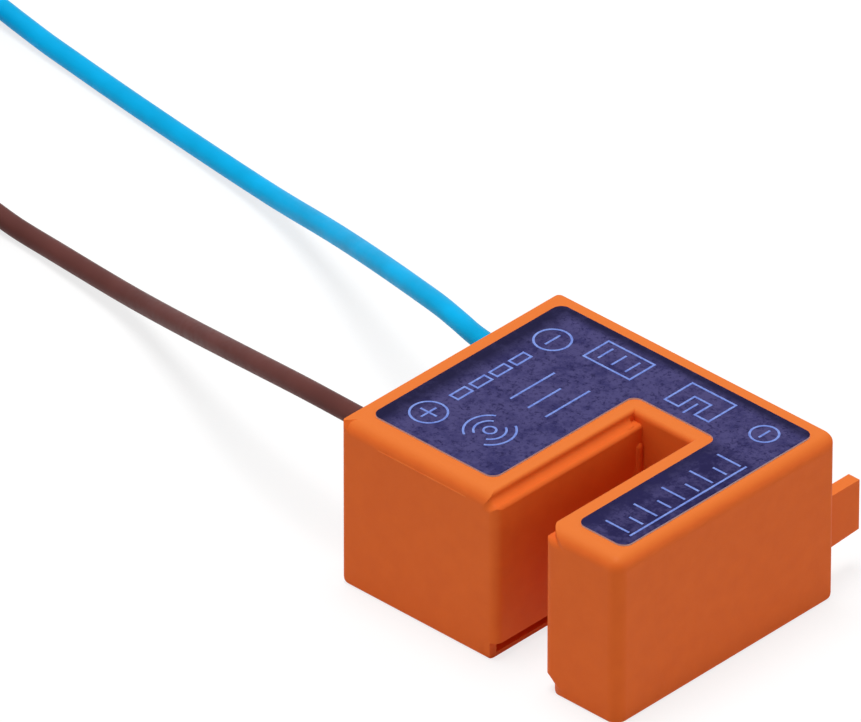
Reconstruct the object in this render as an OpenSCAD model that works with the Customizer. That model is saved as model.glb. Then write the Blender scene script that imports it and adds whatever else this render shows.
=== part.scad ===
// Fork sensor: an inductive slot sensor in a moulded housing with two arms.
// A metal flag that passes through the slot damps the coils behind the two sensing faces.
// +X runs across the arms from the wire side to the narrow arm, +Y from the slot's mouth
// to the back, +Z up. The origin is the centre of the housing's base. Lengths in millimetres.

/* [Housing] */
// Width across the two arms
body_w = 20.4; // [19:0.1:24]
// Depth from the arms' ends to the back face
body_d = 17.2; // [16:0.1:22]
// Height from the base to the top face
body_h = 10.5; // [9.6:0.1:13]
// Thickness of the outer walls
wall_t = 0.9; // [0.7:0.05:1.1]
// Thickness of the top wall
roof_t = 1.0; // [0.7:0.05:1.2]
// Rounding of the top edges over the arms' ends and the narrow arm's side, and of the corner they share
edge_r = 0.75; // [0.6:0.05:0.8]
// Length in which the front top edge's rounding runs out at the wire side
edge_runout = 0.9; // [0.5:0.05:1.5]
// Rounding of the base edges at the arms' ends and the narrow arm's side
base_edge_r = 0.2; // [0.1:0.05:0.3]
// Width of the flat rim that the rounded base edges at the wire side and the back leave on their walls
base_rim = 0.1; // [0.1:0.05:0.4]
// Rounding of the other upright corners
corner_r = 0.3; // [0.1:0.05:0.6]

/* [Slot] */
// Width of the slot between the sensing faces
slot_w = 3.5; // [2.5:0.1:4.5]
// Depth of the slot from the arms' ends
slot_d = 11.55; // [10:0.05:12.2]
// Distance of the slot's centre line from the middle of the housing
slot_offset = 3.03; // [2.4:0.01:3.6]
// How far the wide arm's sensing face stands out of its lips
wide_step = 0.66; // [0.62:0.02:0.8]
// How far the narrow arm's sensing face stands out of its lips
narrow_step = 0.08; // [0.06:0.01:0.2]
// Depth of the ledge over each sensing face below the top face
ledge_drop = 0.62; // [0.62:0.02:0.8]
// Rounding of the hollow between the wide arm's lip and its ledge
hollow_r = 0.4; // [0.2:0.05:0.4]
// Rounding of the shoulder at the top of each sensing face
shoulder_r = 0.22; // [0.1:0.02:0.26]
// Height of each sensing face's lower end above the base
face_base = 1.1; // [0.9:0.05:1.6]
// Height of the foot at the base, under the groove below each sensing face
foot_h = 0.26; // [0.2:0.02:0.6]
// How far the wide arm's foot stands out of its lips
foot_step = 0.2; // [0.1:0.05:0.4]
// Depth of that groove behind the lips
groove_depth = 0.3; // [0.1:0.05:0.4]
// Rounding of each sensing face's upright edges
face_edge_r = 0.55; // [0.2:0.05:0.8]
// Rounding of each sensing face's top at the mouth
face_top_r = 0.4; // [0.2:0.05:0.6]
// Rounding of the wide arm's lip at the mouth
wide_mouth_r = 0.35; // [0.2:0.05:0.6]
// Rounding of the narrow arm's lip at the mouth
narrow_mouth_r = 1.4; // [0.8:0.05:1.6]
// Gap between each sensing face's end and the slot's closed end
face_gap = 0.35; // [0.3:0.05:0.8]
// Wall between the slot's lips and the coils
slot_wall_t = 0.8; // [0.6:0.05:1]
// Rounding of the lips' top edges
lip_edge_r = 0.2; // [0.1:0.02:0.22]
// Rounding of the top edge over the slot's closed end
web_edge_r = 0.35; // [0.3:0.05:0.6]
// Radius of the upright rib at the slot's closed end
rib_r = 0.33; // [0.3:0.01:0.4]
// Height of the rib's top
rib_h = 8.85; // [6:0.05:9]
// Distance of the rib's axis from the slot's closed end
rib_inset = 0.25; // [0.1:0.05:0.3]
// Distance of the rib's axis behind the wide arm's sensing face
rib_drop = 0.18; // [0.1:0.02:0.3]

/* [Locating tab] */
// Thickness of the tab across the housing
tab_t = 0.8; // [0.5:0.05:1.2]
// Distance of the tab from the narrow arm's side
tab_inset = 1.1; // [0.8:0.1:2]
// How far the tab stands out of the back face
tab_l = 3.25; // [2:0.05:4]
// Height of the tab's lower edge above the base, at the back face
tab_z = 2.2; // [1:0.1:3]
// Height of the tab's end faces, at the back face
tab_h = 3.4; // [2:0.1:5]
// Rise of the tab's lower edge towards its free end
tab_rise = 0.2; // [0:0.05:0.4]

/* [Label film] */
// Thickness of the film
film_t = 0.1; // [0.05:0.05:0.2]
// Margin from the wire side
film_wire_margin = 0.85; // [0.5:0.05:1.5]
// Margin from the back face
film_back_margin = 0.75; // [0.5:0.05:1.5]
// Margin from the narrow arm's side
film_side_margin = 0.82; // [0.82:0.02:1.4]
// Margin from the wide arm's end
film_wide_margin = 1.45; // [1:0.05:2.5]
// Margin from the narrow arm's end
film_narrow_margin = 1.4; // [1:0.05:2.5]
// Margin from the wide arm's lip
film_wide_lip_margin = 0.9; // [0.5:0.05:1.2]
// Margin from the narrow arm's lip
film_narrow_lip_margin = 1.0; // [0.5:0.05:1.2]
// Margin from the slot's closed end
film_web_margin = 1.0; // [0.65:0.05:1.2]
// Rounding of the film's corners
film_r = 0.6; // [0.2:0.05:0.8]

/* [Coils] */
// Diameter of the ferrite half cores
core_d = 5.8; // [5:0.1:6.4]
// Length of the half cores along their axis
core_t = 2.2; // [1.8:0.05:2.4]
// Thickness of a core's rim
core_rim_t = 0.6; // [0.4:0.05:0.7]
// Thickness of a core's back
core_back_t = 0.8; // [0.5:0.05:0.9]
// Diameter of a core's middle post
post_d = 2.2; // [1.8:0.05:2.4]
// Distance of the coils' axis from the arms' ends
coil_inset = 4.7; // [4.2:0.05:6]
// How far the coils' axis lies below the middle of the housing's height
coil_sink = 0.05; // [0:0.05:0.3]
// Gap between bobbin and core
bobbin_gap = 0.05; // [0.02:0.01:0.08]
// Wall thickness of the bobbins
bobbin_t = 0.15; // [0.1:0.01:0.2]
// How far each winding stays below its bobbin's flanges
winding_drop = 0.1; // [0.05:0.01:0.2]
// Diameter of the coils' lead wires
lead_d = 0.16; // [0.1:0.01:0.2]
// Distance between the two leads of a coil
lead_pitch = 0.4; // [0.3:0.05:0.5]
// Width of the notch that lets the leads out of a core
notch_w = 0.8; // [0.7:0.05:1]

/* [Electronics] */
// Thickness of the circuit board
board_t = 0.8; // [0.5:0.1:1]
// Gap between the board and the housing's walls and cores
board_gap = 0.4; // [0.2:0.05:0.5]
// Length of the board's tail behind the slot
board_tail = 7.2; // [6.5:0.1:8]
// Distance from the board's edges to the parts and leads next to them
part_margin = 0.5; // [0.3:0.05:0.6]
// Length of the oscillator chip's body
chip_l = 4.9; // [4:0.1:5]
// Width of the oscillator chip's body
chip_w = 3.9; // [3:0.1:4]
// Height of the oscillator chip's body
chip_h = 1.3; // [1:0.05:1.4]
// Width of the chip over its legs
chip_span = 6.0; // [5.4:0.1:6.4]
// Pitch of the chip's legs
chip_pitch = 1.27; // [1:0.01:1.27]
// Pitch of the chip resistors behind the slot
resistor_pitch = 1.5; // [1.2:0.1:1.6]

/* [Wires] */
// Diameter of the insulated wires
wire_d = 1.2; // [1:0.05:1.4]
// Diameter of the wires' conductor
strand_d = 0.5; // [0.4:0.05:0.6]
// Distance between the two wires where they leave the housing
wire_pitch = 10.0; // [9:0.1:11]
// Depth of the wires' centre line below the top face
wire_drop = 2.5; // [2.3:0.05:2.8]
// Gap around a wire in the housing's wall
wire_gap = 0.05; // [0.02:0.01:0.1]
// Straight length of each wire outside the wall
wire_straight = 1.0; // [0.5:0.1:2]
// Length of insulation inside the wall
sleeve_in = 0.2; // [0.1:0.05:0.4]
// Length of stripped conductor inside the wall
strip_in = 2.1; // [1.8:0.1:2.4]
// Gap between the stripped conductors and the board, filled with solder and resin
strand_gap = 0.05; // [0.03:0.01:0.1]
// Radius of the solder joints
solder_r = 0.7; // [0.5:0.05:0.8]
// Radius of a wire coil at the middle of its turns
coil_mid_r = 6.65; // [6:0.05:7.2]
// Turns in each layer of a wire coil
coil_turns = 5.25; // [3:0.25:5.25]
// Room around the turns in a wire coil
coil_slack = 0.05; // [0.05:0.05:0.2]
// Thickness of the ties around the wire coils
tie_t = 0.25; // [0.2:0.05:0.5]
// Width of the ties
tie_w = 1.6; // [1:0.1:3]
// Length of the stripped far ends
tip_l = 5.0; // [3:0.5:8]

/* [Hidden] */
$fn = 64;

// How far cutting shapes run past the faces that they cut
cut = 1;
// How far added forms run into what carries them
root_t = 0.1;

// Housing faces
left_x = -body_w / 2;
right_x = body_w / 2;
front_y = -body_d / 2;
back_y = body_d / 2;
base_back_r = wall_t - base_rim;

// Slot planes
wide_face_x = slot_offset - slot_w / 2;
narrow_face_x = slot_offset + slot_w / 2;
wide_lip_x = wide_face_x - wide_step;
narrow_lip_x = narrow_face_x + narrow_step;
slot_back_y = front_y + slot_d;
face_l = slot_d - face_gap;
ledge_z = body_h - ledge_drop;

// Pocket inside the housing
wide_pocket_x = wide_lip_x - slot_wall_t;
narrow_pocket_x = narrow_lip_x + slot_wall_t;
web_pocket_y = slot_back_y + slot_wall_t;
pocket_h = body_h - roof_t;

// Coils
coil_y = front_y + coil_inset;
coil_z = body_h / 2 - coil_sink;
core_room = core_t - core_back_t;
rim_in_d = core_d - 2 * core_rim_t;
bobbin_in_d = post_d + 2 * bobbin_gap;
bobbin_out_d = bobbin_in_d + 2 * bobbin_t;
flange_d = rim_in_d - 2 * bobbin_gap;
bobbin_l = core_room - bobbin_gap;
winding_d = flange_d - 2 * winding_drop;

// Wires where they cross the wall
wire_z = body_h - wire_drop;
hole_d = wire_d + 2 * wire_gap;
sleeve_l = wall_t + sleeve_in;
strand_l = sleeve_l + strip_in;
solder_x = left_x + strand_l - strand_d;

// Circuit board
board_z = wire_z - strand_d / 2 - strand_gap;
board_left_x = left_x + wall_t + board_gap;
board_edge_x = wide_pocket_x - core_t - board_gap;
board_end_x = board_edge_x + board_tail;
board_front_y = front_y + wall_t + board_gap;
board_back_y = back_y - wall_t - board_gap;
tail_front_y = web_pocket_y + board_gap;
tail_mid_y = (tail_front_y + board_back_y) / 2;
board_mid_x = (board_left_x + board_edge_x) / 2;
lead_z = max(coil_z + core_d / 2, board_z) + lead_d;
driver_x = (left_x + strand_l + board_edge_x) / 2;
diode_y = (board_front_y + coil_y - lead_pitch / 2) / 2;

// Surface-mounted parts: size of each body, the legs pointing along Y
chip_lift = 0.1;
leg_t = 0.15;
leg_w = 0.4;
foot_l = 0.5;
legs_per_side = 4;
transistor_size = [2.9, 1.3, 0.95];
transistor_span = 2.4;
transistor_pitch = 1.9;
diode_size = [1.25, 1.7, 0.9];
diode_span = 2.5;
chip_part_size = [1.6, 0.8, 0.45];
chip_part_end = 0.3;
chip_part_relief = 0.03;
resistor_count = 3;

// Wire coils: a ring of two layers, lying on its tie
coil_layers = 2;
ring_half_w = (coil_turns + 1) * wire_d / 2 + coil_slack;
ring_in_r = coil_mid_r - ring_half_w;
ring_out_r = coil_mid_r + ring_half_w;
ring_h = coil_layers * wire_d + 2 * coil_slack;
tie_r = 0.4;
cord_sides = 8;

// Centres of the two wire coils on the floor
blue_centre = [left_x - 62.0, 9.8];
brown_centre = [left_x - 47.0, -5.6];

// Where each wire leaves the housing
blue_exit = [left_x, wire_pitch / 2, wire_z];
brown_exit = [left_x, -wire_pitch / 2, wire_z];

// Places on the wires' centre lines from the housing to their coils, X counted from the wire side
route_steps = 3;
blue_places = [
    [-6.8, 6.5, 7.6], [-13.8, 9.3, 5.8], [-20.8, 12.6, 3.3], [-27.8, 15.2, 1.3],
    [-34.8, 16.6, 0.7], [-41.8, 17.6, 0.62], [-48.8, 18.6, 0.66], [-56.7, 19.6, 0.9]
];
brown_places = [
    [-6.7, -4.5, 7.6], [-13.3, -2.8, 6.0], [-20.0, -0.2, 3.6], [-26.7, 2.2, 1.5],
    [-33.3, 3.4, 0.75], [-37.0, 3.8, 0.64], [-41.7, 4.2, 0.9]
];

// The wires' far ends, from the upper layer of a coil down to the floor, around the coil's centre
tail_route = [
    [-5.3, 9.8, 2.1], [-6.5, 9.8, 1.9], [-8.0, 9.8, 1.3], [-9.5, 9.8, 0.8], [-10.5, 9.8, 0.6],
    [-11.0, 9.8, 0.6]
];
blue_tail_turn = 0;
brown_tail_turn = 180;

// Colours
housing_colour = [0.93, 0.44, 0.15];
film_colour = [0.24, 0.21, 0.43];
resin_colour = [0.15, 0.14, 0.14];
board_colour = [0.10, 0.35, 0.18];
part_colour = [0.12, 0.12, 0.13];
resistor_colour = [0.20, 0.22, 0.28];
capacitor_colour = [0.62, 0.50, 0.36];
ferrite_colour = [0.22, 0.21, 0.22];
bobbin_colour = [0.90, 0.88, 0.80];
copper_colour = [0.72, 0.38, 0.18];
tin_colour = [0.78, 0.78, 0.80];
blue_colour = [0.05, 0.60, 0.90];
brown_colour = [0.36, 0.20, 0.18];
tie_colour = [0.92, 0.92, 0.90];

// Flat shapes

// What a rounded corner at +X and +Y loses, run past both faces; the arc's centre is the origin
module corner_nib(r) {
    difference() {
        square(r + cut);
        circle(r);
    }
}

module rounded_rect(size, r) {
    translate([r, 0]) square([size.x - 2 * r, size.y]);
    translate([0, r]) square([size.x, size.y - 2 * r]);
    for (x = [r, size.x - r], y = [r, size.y - r]) translate([x, y]) circle(r);
}

// Height profile of a rounded side, its outer face at +X
module edge_profile() {
    difference() {
        square([edge_r, body_h]);
        translate([0, body_h - edge_r]) corner_nib(edge_r);
        translate([edge_r - base_edge_r, base_edge_r]) mirror([0, 1]) corner_nib(base_edge_r);
    }
}

// Plan of the pocket, which leaves the slot and its walls out
module pocket_plan() {
    difference() {
        translate([left_x + wall_t, front_y + wall_t])
            square([body_w - 2 * wall_t, body_d - 2 * wall_t]);
        translate([wide_pocket_x, front_y])
            square([narrow_pocket_x - wide_pocket_x, web_pocket_y - front_y]);
    }
}

// Section of a sensing face across the slot: the lip's plane is at X = 0, the slot towards +X
module face_section(step, mouth_r) {
    shoulder_z = ledge_z - shoulder_r;
    translate([-mouth_r, face_base]) square([mouth_r + step, shoulder_z - face_base]);
    translate([-mouth_r, shoulder_z]) square([mouth_r + step - shoulder_r, shoulder_r]);
    translate([step - shoulder_r, shoulder_z]) circle(shoulder_r);
}

// Section of the hollow between a lip and its ledge, with its root in both, in the same position
module hollow_section() {
    difference() {
        translate([-root_t, ledge_z - root_t]) square(root_t + hollow_r);
        translate([hollow_r, ledge_z + hollow_r]) circle(hollow_r);
    }
}

// Plan of a sensing face, in the same position
module face_plan(step, mouth_r) {
    arc_x = step - face_edge_r;
    difference() {
        translate([-mouth_r, front_y]) square([mouth_r + step, face_l]);
        translate([arc_x, front_y + face_edge_r]) mirror([0, 1]) corner_nib(face_edge_r);
        translate([arc_x, front_y + face_l - face_edge_r]) corner_nib(face_edge_r);
    }
}

// Side view of a sensing face, its top rounded at the mouth, Y to the right and Z up
module face_side() {
    difference() {
        translate([front_y, 0]) square([face_l, ledge_z]);
        translate([front_y + face_top_r, ledge_z - face_top_r]) mirror([1, 0]) corner_nib(face_top_r);
    }
}

// Side view of the wide arm's foot, with its root in the web, Y to the right and Z up
module foot_side() {
    difference() {
        translate([front_y, 0]) square([slot_d + root_t, foot_h]);
        translate([front_y + base_edge_r, base_edge_r]) rotate(180) corner_nib(base_edge_r);
    }
}

// Solid helpers

// A profile with its first axis along +Y and its second along +Z, run along +X
module along_x(length) {
    rotate([90, 0, 90]) linear_extrude(length) children();
}

// A profile with its first axis along +X and its second along +Z, run along -Y
module along_minus_y(length) {
    rotate([90, 0, 0]) linear_extrude(length) children();
}

module rod(from, to, d) {
    run = to - from;
    length = norm(run);
    translate(from)
        rotate([0, acos(run.z / length), atan2(run.y, run.x)])
            cylinder(d = d, h = length);
}

module bent_rod(points, d) {
    for (i = [0 : len(points) - 2]) rod(points[i], points[i + 1], d);
    for (i = [1 : len(points) - 2]) translate(points[i]) sphere(d = d);
}

// Housing

// The front edge at the wire side, where the rounding runs out into a sharp corner
module edge_end() {
    slope = atan2(edge_r, edge_runout);
    difference() {
        cube([edge_runout, edge_r, body_h]);
        translate([-cut, 0, 0]) along_x(edge_runout + 2 * cut)
            translate([base_edge_r, base_edge_r]) rotate(180) corner_nib(base_edge_r);
        intersection() {
            along_x(edge_runout + cut)
                translate([edge_r, body_h - edge_r]) mirror([1, 0]) corner_nib(edge_r);
            translate([0, 0, body_h]) rotate([-45, 0, 0]) rotate([0, 0, slope])
                translate([0, -2 * edge_r, -edge_r]) cube([3 * edge_runout, 2 * edge_r, 2 * edge_r]);
        }
    }
}

module outer_block() {
    run_x = body_w - edge_runout - edge_r;
    run_y = body_d - edge_r;
    translate([left_x, front_y + edge_r, 0]) cube([body_w - edge_r, run_y, body_h]);
    translate([left_x, front_y, 0]) edge_end();
    translate([left_x + edge_runout, front_y + edge_r, 0])
        along_x(run_x) mirror([1, 0]) edge_profile();
    translate([right_x - edge_r, back_y, 0]) along_minus_y(run_y) edge_profile();
    translate([right_x - edge_r, front_y + edge_r, 0])
        rotate(-90) rotate_extrude(angle = 90) edge_profile();
}

// What the rounded base edges at the wire side and the back lose
module base_back_edges() {
    translate([0, back_y + cut, 0]) along_minus_y(body_d + 2 * cut)
        translate([left_x + base_back_r, base_back_r]) rotate(180) corner_nib(base_back_r);
    translate([left_x - cut, 0, 0]) along_x(body_w + 2 * cut)
        translate([back_y - base_back_r, base_back_r]) mirror([0, 1]) corner_nib(base_back_r);
}

module slot_plan() {
    translate([wide_lip_x, front_y - cut]) square([narrow_lip_x - wide_lip_x, slot_d + cut]);
    translate([wide_lip_x - wide_mouth_r, front_y + wide_mouth_r]) mirror([0, 1]) corner_nib(wide_mouth_r);
    translate([narrow_lip_x + narrow_mouth_r, front_y + narrow_mouth_r])
        rotate(180) corner_nib(narrow_mouth_r);
}

module outer_corner_plan() {
    translate([left_x + corner_r, front_y + corner_r]) rotate(180) corner_nib(corner_r);
    translate([left_x + corner_r, back_y - corner_r]) mirror([1, 0]) corner_nib(corner_r);
    translate([right_x - corner_r, back_y - corner_r]) corner_nib(corner_r);
}

// The slot's opening with its rounded top edges, which meet in mitres at the closed end
module slot_top_edges() {
    opening_w = narrow_lip_x - wide_lip_x;
    deepest_r = max(lip_edge_r, web_edge_r);
    intersection() {
        translate([0, slot_back_y + web_edge_r, 0]) along_minus_y(slot_d + web_edge_r + cut) {
            translate([wide_lip_x, body_h - deepest_r]) square([opening_w, deepest_r + cut]);
            translate([wide_lip_x - lip_edge_r, body_h - lip_edge_r]) corner_nib(lip_edge_r);
            translate([narrow_lip_x + lip_edge_r, body_h - lip_edge_r])
                mirror([1, 0]) corner_nib(lip_edge_r);
        }
        translate([wide_lip_x - lip_edge_r, 0, 0]) along_x(opening_w + 2 * lip_edge_r) {
            translate([front_y - cut, body_h - deepest_r]) square([slot_d + cut, deepest_r + cut]);
            translate([slot_back_y + web_edge_r, body_h - web_edge_r])
                mirror([1, 0]) corner_nib(web_edge_r);
        }
    }
}

// The groove below the sensing faces, behind both lips
module slot_groove() {
    translate([wide_lip_x - groove_depth, front_y - cut, foot_h])
        cube([narrow_lip_x - wide_lip_x + 2 * groove_depth, slot_d + cut, face_base - foot_h]);
}

module slotted_block() {
    difference() {
        outer_block();
        translate([0, 0, -cut]) linear_extrude(body_h + 2 * cut) {
            slot_plan();
            outer_corner_plan();
        }
        slot_top_edges();
        slot_groove();
        base_back_edges();
    }
}

// The hollow along a lip up to the rounding at the mouth, in the position of face_section
module lip_hollow(mouth_r) {
    translate([0, front_y + face_l, 0]) along_minus_y(face_l - max(face_top_r, mouth_r)) hollow_section();
}

// A sensing face with its shoulder, in the position of face_section
module sensing_face(step, mouth_r) {
    intersection() {
        translate([0, front_y + face_l, 0]) along_minus_y(face_l) face_section(step, mouth_r);
        linear_extrude(body_h) face_plan(step, mouth_r);
        translate([-mouth_r, 0, 0]) along_x(mouth_r + step) face_side();
    }
    if (step > hollow_r) intersection() {
        lip_hollow(mouth_r);
        linear_extrude(body_h) face_plan(step, mouth_r);
    }
}

// The wide arm's foot, in the same position
module wide_foot() {
    intersection() {
        linear_extrude(foot_h) difference() {
            translate([-wide_mouth_r, front_y]) square([wide_mouth_r + foot_step, slot_d + root_t]);
            translate([foot_step - wide_mouth_r, front_y + wide_mouth_r])
                mirror([0, 1]) corner_nib(wide_mouth_r);
        }
        translate([-wide_mouth_r, 0, 0]) along_x(wide_mouth_r + foot_step) foot_side();
    }
}

module slot_rib() {
    translate([wide_face_x - rib_drop, slot_back_y - rib_inset, 0]) {
        cylinder(r = rib_r, h = rib_h - rib_r);
        translate([0, 0, rib_h - rib_r]) sphere(r = rib_r);
    }
}

module locating_tab() {
    translate([right_x - tab_inset - tab_t, back_y, tab_z])
        along_x(tab_t)
            polygon([[-wall_t / 2, 0], [0, 0], [tab_l, tab_rise], [tab_l, tab_h], [-wall_t / 2, tab_h]]);
}

module housing() {
    color(housing_colour)
    difference() {
        union() {
            slotted_block();
            translate([wide_lip_x, 0, 0]) {
                sensing_face(wide_step, wide_mouth_r);
                wide_foot();
            }
            translate([narrow_lip_x, 0, 0]) mirror([1, 0, 0]) sensing_face(narrow_step, narrow_mouth_r);
            slot_rib();
            locating_tab();
        }
        translate([0, 0, -cut]) linear_extrude(pocket_h + cut) pocket_plan();
        for (side = [-1, 1]) translate([left_x - cut, side * wire_pitch / 2, wire_z])
            rotate([0, 90, 0]) cylinder(d = hole_d, h = wall_t + 2 * cut);
    }
}

// Label film

module film_panel(low, high) {
    translate(low) rounded_rect(high - low, film_r);
}

module label_film() {
    film_left = left_x + film_wire_margin;
    film_right = right_x - film_side_margin;
    film_back = back_y - film_back_margin;
    film_web = slot_back_y + film_web_margin;
    wide_edge = wide_lip_x - film_wide_lip_margin;
    narrow_edge = narrow_lip_x + film_narrow_lip_margin;
    color(film_colour)
    translate([0, 0, body_h]) linear_extrude(film_t) {
        film_panel([film_left, front_y + film_wide_margin], [wide_edge, film_back]);
        film_panel([narrow_edge, front_y + film_narrow_margin], [film_right, film_back]);
        film_panel([film_left, film_web], [film_right, film_back]);
        translate([wide_edge + film_r, film_web - film_r]) mirror([1, 0]) corner_nib(film_r);
        translate([narrow_edge - film_r, film_web - film_r]) corner_nib(film_r);
    }
}

// Coils, drawn with the axis along +Z, the open face at Z = 0 and the lead notch towards +X

module at_wide_coil() {
    translate([wide_pocket_x, coil_y, coil_z]) rotate([0, -90, 0]) children();
}

module at_narrow_coil() {
    translate([narrow_pocket_x, coil_y, coil_z]) mirror([1, 0, 0]) rotate([0, -90, 0]) children();
}

module core_envelope() {
    cylinder(d = core_d, h = core_t);
}

module pot_core() {
    difference() {
        core_envelope();
        difference() {
            translate([0, 0, -cut]) cylinder(d = rim_in_d, h = core_room + cut);
            translate([0, 0, -cut]) cylinder(d = post_d, h = core_room + cut);
        }
        translate([post_d / 2, -notch_w / 2, -cut]) cube([core_d, notch_w, core_room + cut]);
    }
}

module bobbin() {
    difference() {
        union() {
            cylinder(d = bobbin_out_d, h = bobbin_l);
            cylinder(d = flange_d, h = bobbin_t);
            translate([0, 0, bobbin_l - bobbin_t]) cylinder(d = flange_d, h = bobbin_t);
        }
        translate([0, 0, -cut]) cylinder(d = bobbin_in_d, h = bobbin_l + 2 * cut);
    }
}

module winding() {
    winding_l = bobbin_l - 2 * bobbin_t;
    translate([0, 0, bobbin_t]) difference() {
        cylinder(d = winding_d, h = winding_l);
        translate([0, 0, -cut]) cylinder(d = bobbin_out_d, h = winding_l + 2 * cut);
    }
}

module wide_core() { color(ferrite_colour) at_wide_coil() pot_core(); }
module narrow_core() { color(ferrite_colour) at_narrow_coil() pot_core(); }
module wide_bobbin() { color(bobbin_colour) at_wide_coil() bobbin(); }
module narrow_bobbin() { color(bobbin_colour) at_narrow_coil() bobbin(); }
module wide_winding() { color(copper_colour) at_wide_coil() winding(); }
module narrow_winding() { color(copper_colour) at_narrow_coil() winding(); }

// Each lead rises out of its core's notch, runs over the core and comes down on the board
module wide_coil_leads() {
    x = wide_pocket_x - bobbin_l / 2;
    pad_x = board_edge_x - part_margin;
    color(copper_colour)
    for (side = [-1, 1]) {
        y = coil_y + side * lead_pitch / 2;
        bent_rod([
            [x, y, coil_z + winding_d / 2], [x, y, lead_z], [pad_x, y, lead_z], [pad_x, y, board_z]
        ], lead_d);
    }
}

module narrow_coil_leads() {
    pad_x = board_end_x - part_margin;
    color(copper_colour)
    for (side = [-1, 1]) {
        x = narrow_pocket_x + bobbin_l / 2 + side * lead_pitch / 2;
        y = tail_mid_y + side * lead_pitch / 2;
        bent_rod([
            [x, coil_y, coil_z + winding_d / 2], [x, coil_y, lead_z], [x, y, lead_z],
            [pad_x, y, lead_z], [pad_x, y, board_z]
        ], lead_d);
    }
}

// Circuit board and its parts

module circuit_board() {
    color(board_colour)
    translate([0, 0, board_z - board_t]) linear_extrude(board_t) {
        translate([board_left_x, board_front_y])
            square([board_edge_x - board_left_x, board_back_y - board_front_y]);
        translate([board_edge_x, tail_front_y])
            square([board_tail, board_back_y - tail_front_y]);
    }
}

// A leg from the board up to the middle of a moulded body, its foot pointing to +X
module gull_leg(reach, rise) {
    translate([0, leg_w / 2, 0]) along_minus_y(leg_w)
        polygon([
            [0, rise], [reach - foot_l, rise], [reach - foot_l, leg_t], [reach - foot_l, 0], [reach, 0],
            [reach, leg_t], [reach - foot_l + leg_t, leg_t], [reach - foot_l + leg_t, rise + leg_t],
            [0, rise + leg_t]
        ]);
}

// A moulded body on the board; legs point to both sides along Y at the given places along X
module moulded_part(size, span, front_legs, back_legs) {
    rise = chip_lift + size.z / 2;
    translate([-size.x / 2, -size.y / 2, chip_lift]) cube(size);
    for (x = front_legs) translate([x, 0, 0]) rotate(-90) gull_leg(span / 2, rise);
    for (x = back_legs) translate([x, 0, 0]) rotate(90) gull_leg(span / 2, rise);
}

module oscillator_chip() {
    first_x = -(legs_per_side - 1) / 2 * chip_pitch;
    legs = [for (i = [0 : legs_per_side - 1]) first_x + i * chip_pitch];
    color(part_colour)
    translate([board_mid_x, 0, board_z])
        moulded_part([chip_l, chip_w, chip_h], chip_span, legs, legs);
}

module driver_transistor() {
    color(part_colour)
    translate([driver_x, wire_pitch / 2, board_z])
        moulded_part(transistor_size, transistor_span, [-transistor_pitch / 2, transistor_pitch / 2], [0]);
}

module protection_diode() {
    color(part_colour)
    translate([board_edge_x - part_margin - diode_size.x / 2, diode_y, board_z])
        moulded_part(diode_size, diode_span, [0], [0]);
}

// A chip resistor or capacitor along X, with its two metal ends
module chip_part() {
    size = chip_part_size;
    relief = chip_part_relief;
    translate([-size.x / 2, -size.y / 2 + relief, 0])
        cube([size.x, size.y - 2 * relief, size.z - relief]);
    for (x = [-size.x / 2, size.x / 2 - chip_part_end]) translate([x, -size.y / 2, 0])
        cube([chip_part_end, size.y, size.z]);
}

module chip_resistors() {
    color(resistor_colour)
    for (i = [0 : resistor_count - 1])
        translate([board_edge_x + (i + 1) * resistor_pitch, tail_mid_y, board_z]) rotate(90) chip_part();
}

module chip_capacitors() {
    color(capacitor_colour)
    for (y = [board_front_y + part_margin, board_back_y - part_margin])
        translate([board_left_x + part_margin + chip_part_size.x / 2, y, board_z]) chip_part();
}

// Wire ends inside the housing

module wire_sleeve(exit) {
    translate(exit) rotate([0, 90, 0]) difference() {
        cylinder(d = wire_d, h = sleeve_l);
        translate([0, 0, -cut]) cylinder(d = strand_d, h = sleeve_l + 2 * cut);
    }
}

module wire_conductor(exit) {
    translate(exit) rotate([0, 90, 0]) cylinder(d = strand_d, h = strand_l);
}

module blue_sleeve() { color(blue_colour) wire_sleeve(blue_exit); }
module brown_sleeve() { color(brown_colour) wire_sleeve(brown_exit); }
module blue_conductor() { color(tin_colour) wire_conductor(blue_exit); }
module brown_conductor() { color(tin_colour) wire_conductor(brown_exit); }

module solder_joints() {
    color(tin_colour)
    for (exit = [blue_exit, brown_exit]) difference() {
        translate([solder_x, exit.y, board_z]) difference() {
            sphere(r = solder_r);
            translate([-solder_r - cut, -solder_r - cut, -solder_r - cut])
                cube([2 * (solder_r + cut), 2 * (solder_r + cut), solder_r + cut]);
        }
        wire_conductor(exit);
    }
}

// Resin fills the pocket around everything that lies in it, level with the base
module potting_resin() {
    color(resin_colour)
    difference() {
        linear_extrude(pocket_h) pocket_plan();
        circuit_board();
        oscillator_chip();
        driver_transistor();
        protection_diode();
        chip_resistors();
        chip_capacitors();
        at_wide_coil() core_envelope();
        at_narrow_coil() core_envelope();
        wide_coil_leads();
        narrow_coil_leads();
        for (exit = [blue_exit, brown_exit]) translate(exit) rotate([0, 90, 0]) {
            cylinder(d = wire_d, h = sleeve_l);
            cylinder(d = strand_d, h = strand_l);
        }
        for (exit = [blue_exit, brown_exit]) translate([solder_x, exit.y, board_z]) sphere(r = solder_r);
    }
}

// Free wires

function unit(v) = v / norm(v);

function heading(points, i) =
    unit(points[min(i + 1, len(points) - 1)] - points[max(i - 1, 0)]);

// Ring of points around point i, square to the route
function ring(points, i, d) =
    let (ahead = heading(points, i), side = unit(cross([0, 0, 1], ahead)), over = cross(ahead, side))
    [for (k = [0 : cord_sides - 1])
        let (turn = 360 * k / cord_sides)
        points[i] + d / 2 * (cos(turn) * side + sin(turn) * over)];

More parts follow.
